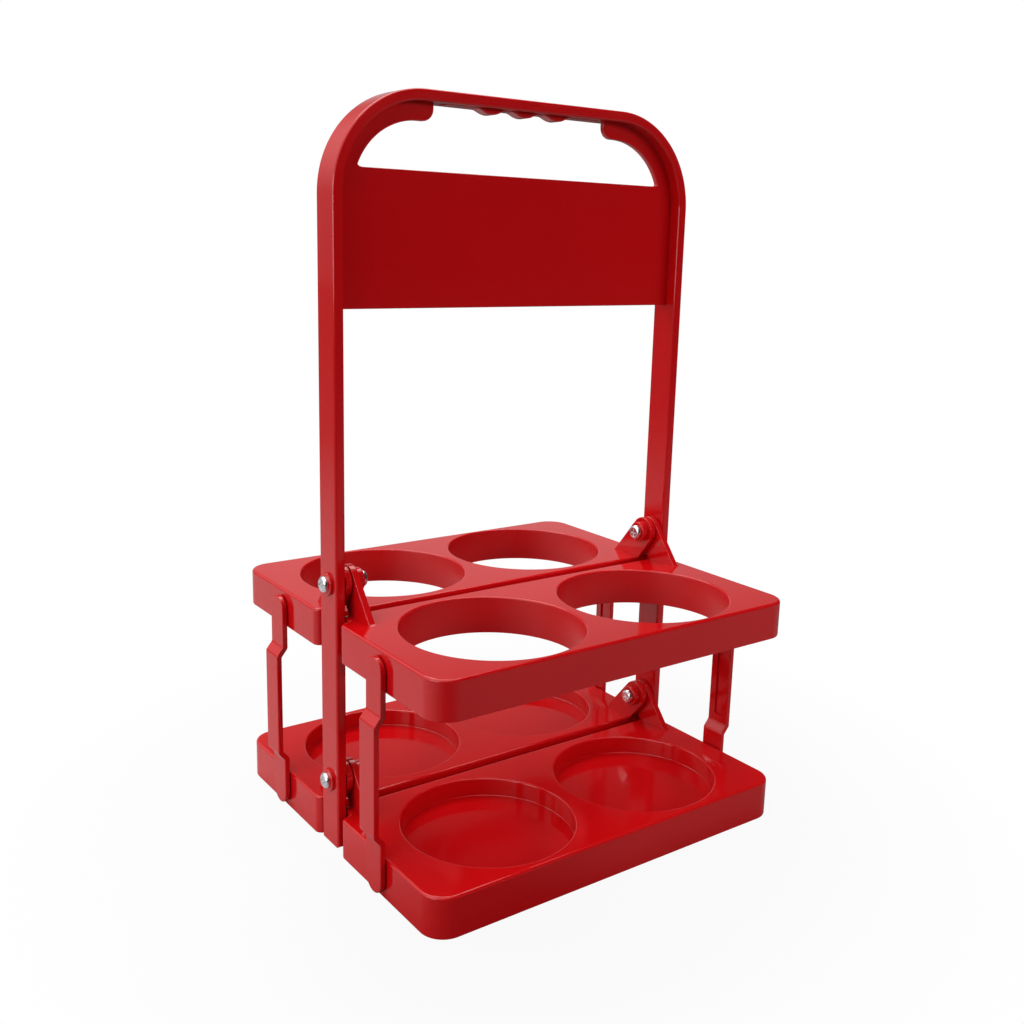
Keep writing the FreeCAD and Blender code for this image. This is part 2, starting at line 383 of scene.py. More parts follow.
@dataclass(frozen=True)
class GlossPlastic:
    """High-gloss moulded plastic with faint flow marks and a barely wavy skin.

    A satin above zero makes the walls of the four rings that much rougher.
    """

    name: str = "gloss_plastic"
    colour: tuple[float, float, float] = (0.56, 0.0035, 0.0055)
    deep: tuple[float, float, float] = (0.50, 0.0025, 0.004)
    roughness: tuple[float, float] = (0.07, 0.13)
    refraction: float = 1.5
    flow_scale: float = 22.0
    flow_detail: float = 3.0
    skin_scale: float = 260.0
    skin_detail: float = 2.0
    skin_strength: float = 0.25
    skin_height: float = 0.00002
    satin: float = 0.0
    satin_centre: Point = (0.0416, 0.0462, 0.0)
    satin_r: float = 0.039
    satin_half: float = 0.0002

    def walls(self, tree: bpy.types.NodeTree, place: bpy.types.NodeSocket,
              gloss: bpy.types.NodeSocket) -> bpy.types.NodeSocket:
        """Raises the roughness on the walls of the four rings.

        Args:
            tree: The node tree.
            place: Object coordinates.
            gloss: Roughness elsewhere.

        Returns:
            The roughness everywhere.
        """
        quarter = tree.nodes.new("ShaderNodeVectorMath")
        quarter.operation = "ABSOLUTE"
        tree.links.new(place, quarter.inputs[0])
        flat = tree.nodes.new("ShaderNodeVectorMath")
        flat.operation = "MULTIPLY_ADD"
        flat.inputs[1].default_value = (1, 1, 0)
        flat.inputs[2].default_value = [-c for c in self.satin_centre]
        tree.links.new(quarter.outputs["Vector"], flat.inputs[0])
        reach = tree.nodes.new("ShaderNodeVectorMath")
        reach.operation = "LENGTH"
        tree.links.new(flat.outputs["Vector"], reach.inputs[0])
        wall = tree.nodes.new("ShaderNodeMath")
        wall.operation = "COMPARE"
        wall.inputs[1].default_value = self.satin_r
        wall.inputs[2].default_value = self.satin_half
        tree.links.new(reach.outputs["Value"], wall.inputs[0])
        rough = tree.nodes.new("ShaderNodeMath")
        rough.operation = "MULTIPLY_ADD"
        rough.inputs[1].default_value = self.satin
        tree.links.new(wall.outputs[0], rough.inputs[0])
        tree.links.new(gloss, rough.inputs[2])
        return rough.outputs[0]

    def make(self) -> bpy.types.Material:
        """Builds the node material.

        Returns:
            The material.
        """
        material = bpy.data.materials.new(self.name)
        material.use_nodes = True
        nodes, links = material.node_tree.nodes, material.node_tree.links
        shader = nodes["Principled BSDF"]
        shader.inputs["IOR"].default_value = self.refraction
        place = nodes.new("ShaderNodeTexCoord")
        flow = nodes.new("ShaderNodeTexNoise")
        flow.inputs["Scale"].default_value = self.flow_scale
        flow.inputs["Detail"].default_value = self.flow_detail
        links.new(place.outputs["Object"], flow.inputs["Vector"])
        tint = nodes.new("ShaderNodeMix")
        tint.data_type = "RGBA"
        tint.inputs["A"].default_value = (*self.deep, 1)
        tint.inputs["B"].default_value = (*self.colour, 1)
        links.new(flow.outputs["Fac"], tint.inputs["Factor"])
        links.new(tint.outputs["Result"], shader.inputs["Base Color"])
        gloss = nodes.new("ShaderNodeMapRange")
        gloss.inputs["To Min"].default_value = self.roughness[0]
        gloss.inputs["To Max"].default_value = self.roughness[1]
        links.new(flow.outputs["Fac"], gloss.inputs["Value"])
        rough = gloss.outputs["Result"]
        if self.satin:
            rough = self.walls(material.node_tree, place.outputs["Object"], rough)
        links.new(rough, shader.inputs["Roughness"])
        skin = nodes.new("ShaderNodeTexNoise")
        skin.inputs["Scale"].default_value = self.skin_scale
        skin.inputs["Detail"].default_value = self.skin_detail
        links.new(place.outputs["Object"], skin.inputs["Vector"])
        bump = nodes.new("ShaderNodeBump")
        bump.inputs["Strength"].default_value = self.skin_strength
        bump.inputs["Distance"].default_value = self.skin_height
        links.new(skin.outputs["Fac"], bump.inputs["Height"])
        links.new(bump.outputs["Normal"], shader.inputs["Normal"])
        return material


@dataclass(frozen=True)
class BrightPlate:
    """Bright plated steel of the screws, with fine turning marks."""

    name: str = "bright_plate"
    colour: tuple[float, float, float] = (0.80, 0.80, 0.82)
    roughness: tuple[float, float] = (0.08, 0.22)
    mark_scale: float = 900.0

    def make(self) -> bpy.types.Material:
        """Builds the node material.

        Returns:
            The material.
        """
        material = bpy.data.materials.new(self.name)
        material.use_nodes = True
        nodes, links = material.node_tree.nodes, material.node_tree.links
        shader = nodes["Principled BSDF"]
        shader.inputs["Base Color"].default_value = (*self.colour, 1)
        shader.inputs["Metallic"].default_value = 1.0
        place = nodes.new("ShaderNodeTexCoord")
        marks = nodes.new("ShaderNodeTexNoise")
        marks.inputs["Scale"].default_value = self.mark_scale
        links.new(place.outputs["Object"], marks.inputs["Vector"])
        gloss = nodes.new("ShaderNodeMapRange")
        gloss.inputs["To Min"].default_value = self.roughness[0]
        gloss.inputs["To Max"].default_value = self.roughness[1]
        links.new(marks.outputs["Fac"], gloss.inputs["Value"])
        links.new(gloss.outputs["Result"], shader.inputs["Roughness"])
        return material


@dataclass
class Wardrobe:
    """The finishes, made once, and the way a piece gets one and its body."""

    plastic: bpy.types.Material = field(default_factory=lambda: GlossPlastic().make())
    ring_plastic: bpy.types.Material = field(
        default_factory=lambda: GlossPlastic(name="ring_plastic", satin=0.27).make())
    chrome: bpy.types.Material = field(default_factory=lambda: BrightPlate().make())

    def dress(self, piece: bpy.types.Object, node: str, body: str, slot: Slot) -> None:
        """Gives a finished piece its finish, its body and the node it stands for.

        Args:
            piece: The finished piece.
            node: The node of the frame that it replaces.
            body: The body that it rides on.
            slot: Material slot of the record.
        """
        piece.name = node + "_skin"
        piece.data.materials.clear()
        plastic = self.ring_plastic if node.startswith("upper_tray") else self.plastic
        piece.data.materials.append(plastic if slot is Slot.PLASTIC else self.chrome)
        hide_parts(node)
        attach(piece, body)
        log.info("%s: %d faces, on %s", piece.name, len(piece.data.polygons), body)


# Sizes shared by the pieces


@dataclass(frozen=True)
class Layout:
    """Sizes of the carrier in millimetres, as in the solid model."""

    hole_r: float = 39.0
    cup_r: float = 37.7
    hole_x: float = 41.6
    hole_y: float = 46.2
    tray_end: float = 94.15
    tray_outer: float = 87.7
    tray_inner: float = 2.6
    notch_wall: float = 88.7
    notch_half: float = 10.4
    corner_r: float = 10.7
    notch_r: float = 3.5
    small_r: float = 1.6
    wall: float = 2.4
    deck: float = 2.6
    upper_axis: float = 119.7
    lower_axis: float = 31.2
    upper_top: float = 105.5
    upper_height: float = 16.75
    lower_height: float = 17.8
    barrel_r: float = 2.8
    pin_r: float = 2.5
    link_y: float = 45.1
    link_drop: float = 23.2
    frame_half: float = 93.7
    leg_inner: float = 89.1
    screw_seat: float = 95.0
    nut_seat: float = 78.3
    running: float = 0.05


LAY = Layout()


# Trays


@dataclass
class Tray:
    """A front tray: a skirted deck with two openings and two hinge lugs."""

    name: str
    bottom: float
    top: float
    axis_z: float
    opening_r: float
    tube_r: float
    top_round: float = 1.2
    bottom_round: float = 0.4
    rim_round: float = 0.8
    corner_steps: int = 14
    notch_steps: int = 6
    small_steps: int = 5
    rim_steps: int = 4
    lug_outer: tuple[float, float] = (85.7, 88.69)
    lug_inner: tuple[float, float] = (82.2, 85.2)
    eye_r: float = 7.0
    lug_foot: float = 20.5
    lug_foot_r: float = 3.0
    lug_round: float = 0.35
    sink: float = 0.05
    fillet_inset: float = 0.3
    boss_r: float = 5.0
    boss_height: float = 3.6
    boss_round: float = 0.5
    rib_width: float = 1.8
    pin_clearance: float = 0.15
    pin_hole_half: float = 4.0

    def plan(self, name: str, inset: float, low: float, high: float) -> bpy.types.Object:
        """Makes a solid of the tray's outline.

        Args:
            name: Name of the object.
            inset: How far the outline is drawn inwards.
            low: Underside.
            high: Top.

        Returns:
            The solid.
        """
        side, outer = LAY.tray_end - inset, LAY.tray_outer - inset
        inner, step = LAY.tray_inner + inset, LAY.notch_wall - inset
        notch = LAY.notch_half + inset
        body = block(name, (-side, -outer, low), (side, -inner, high))
        for way in (-1, 1):
            ends = sorted((way * step, way * (side + WELL_PAST)))
            work_in(body, block("notch", (ends[0], -notch, low - PAST),
                                (ends[1], WELL_PAST, high + PAST)), Join.CUT)
        soften(body, LAY.corner_r - inset, self.corner_steps,
               lambda p: near(abs(p.x), side) and near(p.y, -outer))
        soften(body, LAY.notch_r - inset, self.notch_steps,
               lambda p: near(abs(p.x), side) and near(p.y, -notch))
        soften(body, LAY.small_r, self.small_steps,
               lambda p: near(abs(p.x), step) and (near(p.y, -notch) or near(p.y, -inner)))
        return body

    def hollow(self) -> bpy.types.Object:
        """Makes the cutter for the underside: the plan less the tubes and ribs that stay.

        Returns:
            The cutter.
        """
        under = self.top - LAY.deck
        cutter = self.plan("hollow", LAY.wall, self.bottom - PAST, under)
        tube_low = self.tube_low()
        for way in (-1, 1):
            tube = rod("tube", self.tube_r, tube_low, under + PAST,
                       (way * LAY.hole_x, -LAY.hole_y), Axis.Z, OPENING_STEPS)
            work_in(cutter, tube, Join.CUT)
        half = self.rib_width / 2
        spans = [(-half, half, -LAY.tray_outer)]
        for low, high in (self.lug_inner, self.lug_outer):
            middle = (low + high) / 2
            for x in (-middle, middle):
                spans.append((x - half, x + half, -self.lug_foot - LAY.wall))
        ribs = [block("rib", (a, y, self.bottom - 0.01), (b, 0, under + PAST))
                for a, b, y in spans]
        return cut_all(cutter, ribs)

    def tube_low(self) -> float:
        """Lower end of the walls round the openings."""
        return self.bottom

    def opening(self, way: int) -> bpy.types.Object:
        """Makes the cutter for one opening.

        Args:
            way: -1 for the left one and 1 for the right one.

        Returns:
            The cutter.
        """
        return rod("opening", self.opening_r, self.bottom - 2 * PAST, self.top + 2 * PAST,
                   (way * LAY.hole_x, -LAY.hole_y), Axis.Z, OPENING_STEPS)

    def on_rim(self, p: Vector) -> bool:
        """Whether a point lies on the upper edge of an opening."""
        reach = math.hypot(abs(p.x) - LAY.hole_x, p.y + LAY.hole_y)
        return near(p.z, self.top) and near(reach, self.opening_r, 0.05)

    def lug(self, span: tuple[float, float]) -> bpy.types.Object:
        """Makes one hinge lug: a plate that slopes down its own tray from a round eye.

        Args:
            span: Where the plate starts and ends along X.

        Returns:
            The lug.
        """
        eye = rod("lug", self.eye_r, span[0], span[1], (0, self.axis_z), Axis.X, EYE_STEPS)
        base = block("base", (span[0], -self.lug_foot, self.top - PAST),
                     (span[1], -LAY.tray_inner - self.sink, self.top))
        plate = hull_of(eye, base)
        return soften(plate, self.lug_round, 3,
                      lambda p: near(p.x, span[0]) or near(p.x, span[1]))

    def foot_fillet(self, span: tuple[float, float]) -> bpy.types.Object:
        """Makes the soft corner between a lug's slope and the deck.

        Args:
            span: Where the lug starts and ends along X.

        Returns:
            The wedge, hollowed by a rod.
        """
        rise, run = self.axis_z - self.top, self.lug_foot
        slope = math.atan2(rise, run) + math.asin(self.eye_r / math.hypot(rise, run))
        reach = self.lug_foot_r * math.tan(slope / 2)
        start = -self.lug_foot - reach
        wedge = block("wedge", (span[0] + self.fillet_inset, start, self.top - 0.5 * PAST),
                      (span[1] - self.fillet_inset, -self.lug_foot + reach * math.cos(slope),
                       self.top + reach * math.sin(slope)))
        hollow = rod("hollow", self.lug_foot_r, span[0] - PAST, span[1] + PAST,
                     (start + self.sink / 2, self.top + self.lug_foot_r - self.sink / 2),
                     Axis.X, EYE_STEPS)
        return work_in(wedge, hollow, Join.CUT)

    def build(self) -> bpy.types.Object:
        """Builds the whole front tray.

        Returns:
            The tray.
        """
        body = self.plan(self.name, 0, self.bottom, self.top)
        soften(body, self.top_round, self.rim_steps, lambda p: near(p.z, self.top))
        soften(body, self.bottom_round, 2, lambda p: near(p.z, self.bottom))
        work_in(body, self.hollow(), Join.CUT)
        cut_all(body, [self.opening(-1), self.opening(1)])
        soften(body, self.rim_round, self.rim_steps, self.on_rim)
        boss_end = -self.lug_inner[0] + self.boss_height
        boss = rod("boss", self.boss_r, -self.lug_inner[0] - 0.5 * PAST, boss_end,
                   (0, self.axis_z), Axis.X, SEAT_STEPS)
        soften(boss, self.boss_round, 3, lambda p: near(p.x, boss_end))
        left = (-self.lug_inner[1], -self.lug_inner[0])
        for span in (left, self.lug_outer):
            add_all(body, [self.lug(span), self.foot_fillet(span)])
        work_in(body, boss, Join.UNION)
        bore = rod("bore", LAY.barrel_r + LAY.running, -THROUGH, THROUGH, (0, self.axis_z))
        pin_z = self.axis_z - LAY.link_drop
        pins = [rod("pin_hole", LAY.pin_r + self.pin_clearance, x - self.pin_hole_half,
                    x + self.pin_hole_half, (-LAY.link_y, pin_z))
                for x in (-LAY.tray_end, LAY.tray_end)]
        cut_all(body, [bore, *pins])
        return polish(body)


@dataclass
class BaseTray(Tray):
    """A lower tray, whose openings are shallow recesses with a floor."""

    cup_depth: float = 8.3
    cup_floor: float = 2.2
    foot_round: float = 0.4

    def tube_low(self) -> float:
        """Underside of the recess floors."""
        return self.top - self.cup_depth - self.cup_floor

    def opening(self, way: int) -> bpy.types.Object:
        """Makes the cutter for one recess, rounded at its foot."""
        floor = self.top - self.cup_depth
        cutter = rod("recess", self.opening_r, floor, self.top + 2 * PAST,
                     (way * LAY.hole_x, -LAY.hole_y), Axis.Z, OPENING_STEPS)
        return soften(cutter, self.foot_round, 3, lambda p: near(p.z, floor))


# Handle frame


@dataclass
class HandleFrame:
    """The upright frame: a bent strip, its web with the hand hole, and the finger grip."""

    depth: float = 14.7
    top: float = 320.0
    foot: float = 1.5
    corner_r: float = 42.0
    corner_steps: int = 28
    rim: float = 4.6
    edge: float = 1.1
    web: float = 3.0
    web_edge: float = 0.6
    panel_bottom: float = 233.2
    hole_bottom: float = 288.7
    hole_r: float = 30.1
    hole_corner: float = 3.0
    tab_end: float = 45.0
    tab_r: float = 5.0
    seat_r: float = 5.0
    seat_round: float = 0.4
    grip_half: float = 3.2
    grip_pitch: float = 17.3
    grip_wave: float = 2.1
    grip_cover: float = 0.25
    grip_cuts: int = 63
    grip_edge: float = 0.8

    def arch(self, name: str, half_x: float, low: float, high: float, half_y: float,
             radius: float) -> bpy.types.Object:
        """Makes a slab with its two upper corners rounded.

        Args:
            name: Name of the object.
            half_x: Half its width.
            low: Its lower end.
            high: Its top.
            half_y: Half its depth.
            radius: Radius of the upper corners.

        Returns:
            The slab.
        """
        slab = block(name, (-half_x, -half_y, low), (half_x, half_y, high))
        return soften(slab, radius, self.corner_steps,
                      lambda p: near(abs(p.x), half_x) and near(p.z, high))

    def band(self) -> bpy.types.Object:
        """Makes the legs and the handle bar as one bent strip.

        Returns:
            The strip.
        """
        half = self.depth / 2
        strip = self.arch("band", LAY.frame_half, self.foot, self.top, half, self.corner_r)
        inner = self.arch("inside", LAY.leg_inner, -2 * WELL_PAST, self.top - self.rim,
                          half + WELL_PAST, self.corner_r - self.rim)
        work_in(strip, inner, Join.CUT)
        return soften(strip, self.edge, 4, lambda p: near(abs(p.y), half))

    def hand_hole(self) -> bpy.types.Object:
        """Makes the cutter for the hand hole, with the slot between the tabs.

        Returns:
            The cutter.
        """
        arc_x = LAY.frame_half - self.corner_r
        arc_top = self.top - self.corner_r + self.hole_r
        hole = self.arch("hand_hole", arc_x + self.hole_r, self.hole_bottom - 2 * WELL_PAST,
                         arc_top, self.web, self.hole_r)
        trim(hole, (0, 0, self.hole_bottom), (0, 0, -1))
        soften(hole, self.hole_corner, 6,
               lambda p: near(p.z, self.hole_bottom) and abs(p.x) > arc_x)
        slot = block("slot", (-self.tab_end, -self.web, arc_top - self.tab_r),
                     (self.tab_end, self.web, self.top + WELL_PAST))
        work_in(hole, slot, Join.UNION)
        return soften(hole, self.tab_r, 10,
                      lambda p: near(p.z, arc_top) and near(abs(p.x), self.tab_end))

    def web_plate(self) -> bpy.types.Object:
        """Makes the panel with the two upper corners.

        Returns:
            The plate.
        """
        sunk = self.rim / 2
        plate = self.arch("web", LAY.leg_inner + sunk, self.panel_bottom, self.top - sunk,
                          self.web / 2, self.corner_r - sunk)
        work_in(plate, self.hand_hole(), Join.CUT)
        return soften_all(plate, self.web_edge, 3, 50)

    def wave(self, x: float) -> float:
        """Depth of the grip's waves at a place along it, as arcs that meet smoothly."""
        step = round(x / (self.grip_pitch / 2))
        if abs(step) > 3 or abs(x) >= 1.5 * self.grip_pitch:
            return 0.0
        quarter, sag = self.grip_pitch / 4, self.grip_wave / 2
        radius = (quarter**2 + sag**2) / self.grip_wave
        along = x - step * self.grip_pitch / 2
        bulge = math.sqrt(radius**2 - along**2) - (radius - sag)
        return sag - bulge if step % 2 else sag + bulge

    def grip(self) -> bpy.types.Object:
        """Makes the finger grip: a bar pulled down into three waves.

        Returns:
            The grip.
        """
        under = self.top - self.rim
        half = self.tab_end - self.tab_r
        low = under - self.grip_cover
        sunk = under + 2 * PAST
        bar = block("grip", (-half, -self.grip_half, low), (half, self.grip_half, sunk))
        pick_edges(bar, lambda p: near(abs(p.y), self.grip_half)
                   and (near(p.z, low) or near(p.z, sunk)))
        bpy.ops.mesh.subdivide(number_cuts=self.grip_cuts)
        bpy.ops.object.mode_set(mode="OBJECT")
        pitch = 2 * half / (self.grip_cuts + 1)
        for cut in range(1, self.grip_cuts + 1):
            x = -half + cut * pitch
            drop = self.wave(x)
            if drop:
                pick_edges(bar, lambda p: near(p.x, x) and near(p.z, low))
                bpy.ops.transform.translate(value=(0, 0, -drop * MM))
                bpy.ops.object.mode_set(mode="OBJECT")
        return soften(bar, self.grip_edge, 3,
                      lambda p: near(abs(p.y), self.grip_half) and p.z < low + 0.1)

    def build(self) -> bpy.types.Object:
        """Builds the whole frame.

        Returns:
            The frame.
        """
        body = self.band()
        parts = [self.web_plate(), self.grip()]
        for z in (LAY.lower_axis, LAY.upper_axis):
            for way in (-1, 1):
                ends = sorted((way * (LAY.frame_half - PAST), way * LAY.screw_seat))
                seat = rod("seat", self.seat_r, ends[0], ends[1], (0, z), Axis.X, SEAT_STEPS)
                parts.append(soften(seat, self.seat_round, 3,
                                    lambda p: near(abs(p.x), LAY.screw_seat)))
        add_all(body, parts)
        bores = [rod("bore", LAY.barrel_r + LAY.running, -THROUGH, THROUGH, (0, z))
                 for z in (LAY.lower_axis, LAY.upper_axis)]
        return polish(cut_all(body, bores))


# Links


@dataclass
class SideLink:
    """Front link of the right-hand end: a cranked strip with a pin at each end."""

    gap: float = 0.45
    width: float = 12.2
    thickness: float = 2.45
    crank: float = 3.0
    crank_length: float = 3.75
    head_length: float = 16.8
    groove_width: float = 4.4
    groove_depth: float = 0.9
    groove_inset: float = 4.0
    pin_past: float = 1.7
    edge: float = 0.45
    end_slack: float = 0.02
    end_steps: int = 12
    bend_round: float = 0.7
    bend_slack: float = 0.05

    def build(self) -> bpy.types.Object:
        """Builds the link by pulling a block up through its two cranks.

        Returns:
            The link.
        """
        head = LAY.tray_end + self.gap
        out = head + self.thickness
        low_pin = LAY.lower_axis - LAY.link_drop
        high_pin = LAY.upper_axis - LAY.link_drop
        half = self.width / 2
        turn = math.atan2(self.crank, self.crank_length)
        shift = self.thickness * math.tan(turn / 2)
        low_bend, high_bend = low_pin + self.head_length, high_pin - self.head_length
        strip = block("link", (head, -LAY.link_y - half, low_pin - half),
                      (out, -LAY.link_y + half, low_bend))
        middle = high_bend - low_bend - 2 * self.crank_length
        self.slant(strip, low_bend, head, shift)
        self.pull(strip, self.crank, self.crank_length)
        self.pull(strip, 0, middle)
        self.slant(strip, low_bend + self.crank_length + middle, head + self.crank, -2 * shift)
        self.pull(strip, -self.crank, self.crank_length)
        self.pull(strip, 0, self.head_length + half)
        self.slant(strip, high_pin + half, head, shift)
        ends = (low_pin - half, high_pin + half)
        bends = (low_bend, low_bend + self.crank_length, high_bend - self.crank_length, high_bend)
        centre = (low_pin + high_pin) / 2
        folds = bends + tuple(z + (shift if z < centre else -shift) for z in bends)
        soften(strip, self.bend_round, 3,
               lambda p: any(near(p.z, z, self.bend_slack) for z in folds))
        soften(strip, half - self.end_slack, self.end_steps,
               lambda p: near(abs(p.y + LAY.link_y), half) and any(near(p.z, z) for z in ends))
        soften_all(strip, self.edge, 3, 30)
        groove = block("groove",
                       (head - PAST, -LAY.link_y - self.groove_width / 2,
                        low_bend + shift + self.crank_length + self.groove_inset),
                       (head + self.crank + self.groove_depth,
                        -LAY.link_y + self.groove_width / 2,
                        high_bend - shift - self.crank_length - self.groove_inset))
        work_in(strip, groove, Join.CUT)
        for z in (low_pin, high_pin):
            pin = rod("pin", LAY.pin_r, LAY.tray_end - LAY.wall - self.pin_past, head + PAST,
                      (-LAY.link_y, z))
            work_in(strip, pin, Join.UNION)
        return polish(strip)

    def slant(self, strip: bpy.types.Object, z: float, x: float, shift: float) -> None:
        """Moves one upper edge of the strip, so that its bends keep their thickness."""
        pick_edges(strip, lambda p: near(p.x, x) and p.z > z - 2 * PAST)
        bpy.ops.transform.translate(value=(0, 0, shift * MM))
        bpy.ops.object.mode_set(mode="OBJECT")

    def pull(self, strip: bpy.types.Object, along_x: float, along_z: float) -> None:
        """Extrudes the strip's upper end."""
        top = max(face.center.z for face in strip.data.polygons) / MM
        pick_faces(strip, lambda p: near(p.z, top))
        bpy.ops.mesh.extrude_region_move(
            TRANSFORM_OT_translate={"value": (along_x * MM, 0, along_z * MM)})
        bpy.ops.object.mode_set(mode="OBJECT")


# Screws


@dataclass
class HingeScrews:
    """Right-hand screw and barrel nut of one hinge line, with cross-recess heads."""

    axis_z: float
    head_r: float = 3.55
    head_height: float = 2.0
    dome: float = 1.35
    dome_steps: int = 6
    head_edge: float = 0.12
    screw_r: float = 1.9
    screw_tip: float = 0.5
    reach: float = 12.0
    tip_room: float = 0.6
    recess_long: float = 2.1
    recess_wide: float = 0.36
    recess_deep: float = 0.6

    def head(self, seat: float, way: int) -> bpy.types.Object:
        """Makes a domed head with a cross recess.

        Args:
            seat: Where the head sits along X.
            way: 1 if it looks to the right and -1 if it looks to the left.

        Returns:
            The head.
        """
        top = seat + way * self.head_height
        ends = sorted((seat, top))
        dome = rod("head", self.head_r, ends[0], ends[1], (0, self.axis_z))
        soften(dome, self.dome, self.dome_steps, lambda p: near(p.x, top))
        foot = sorted((top + way * PAST, top - way * self.recess_deep))
        for long_y, long_z in ((self.recess_long, self.recess_wide),
                               (self.recess_wide, self.recess_long)):
            arm = block("arm", (foot[0], -long_y, self.axis_z - long_z),
                        (foot[1], long_y, self.axis_z + long_z))
            work_in(dome, arm, Join.CUT)
        return soften_all(dome, self.head_edge, 2, 50)

    def screw(self) -> bpy.types.Object:
        """Builds the screw, whose head sits on the leg.

        Returns:
            The screw.
        """
        head = self.head(LAY.screw_seat, 1)
        tip = LAY.screw_seat - self.reach
        shank = rod("shank", self.screw_r, tip, LAY.screw_seat + 0.5 * PAST, (0, self.axis_z))
        soften(shank, self.screw_tip, 2, lambda p: near(p.x, tip))
        return polish(work_in(head, shank, Join.UNION))

    def nut(self) -> bpy.types.Object:
        """Builds the barrel nut, whose head sits inside.

        Returns:
            The nut.
        """
        head = self.head(LAY.nut_seat, -1)
        barrel = rod("barrel", LAY.barrel_r, LAY.nut_seat - 0.5 * PAST, LAY.screw_seat - PAST,
                     (0, self.axis_z))
        work_in(head, barrel, Join.UNION)
        bore = rod("bore", self.screw_r + LAY.running,
                   LAY.screw_seat - self.reach - self.tip_room, LAY.screw_seat + PAST,
                   (0, self.axis_z))
        return polish(work_in(head, bore, Join.CUT))


# Stage


@dataclass(frozen=True)
class Lamp:
    """One soft area lamp, in metres."""

    name: str
    place: Point
    size: tuple[float, float]
    power: float
    mirrored: bool = True
    aim: Point = (0.0, 0.0, 0.12)

    def make(self) -> None:
        """Adds the lamp, turned to its aim."""
        data = bpy.data.lights.new(self.name, "AREA")
        data.shape = "RECTANGLE"
        data.size, data.size_y = self.size
        data.energy = self.power
        lamp = bpy.data.objects.new(self.name, data)
        bpy.context.scene.collection.objects.link(lamp)
        lamp.visible_glossy = self.mirrored
        lamp.location = self.place
        way = Vector(self.aim) - Vector(self.place)
        lamp.rotation_euler = way.to_track_quat("-Z", "Y").to_euler()


@dataclass(frozen=True)
class Ramp:
    """A smooth step of a value between two ends."""

    begin: float
    end: float
    low: float
    high: float

    def make(self, tree: bpy.types.NodeTree, value: bpy.types.NodeSocket) -> bpy.types.NodeSocket:
        """Adds the step's node.

        Args:
            tree: The node tree.
            value: What is stepped.

        Returns:
            The node's output.
        """
        node = tree.nodes.new("ShaderNodeMapRange")
        node.interpolation_type = "SMOOTHSTEP"
        node.inputs["From Min"].default_value = self.begin
        node.inputs["From Max"].default_value = self.end
        node.inputs["To Min"].default_value = self.low
        node.inputs["To Max"].default_value = self.high
        tree.links.new(value, node.inputs["Value"])
        return node.outputs["Result"]


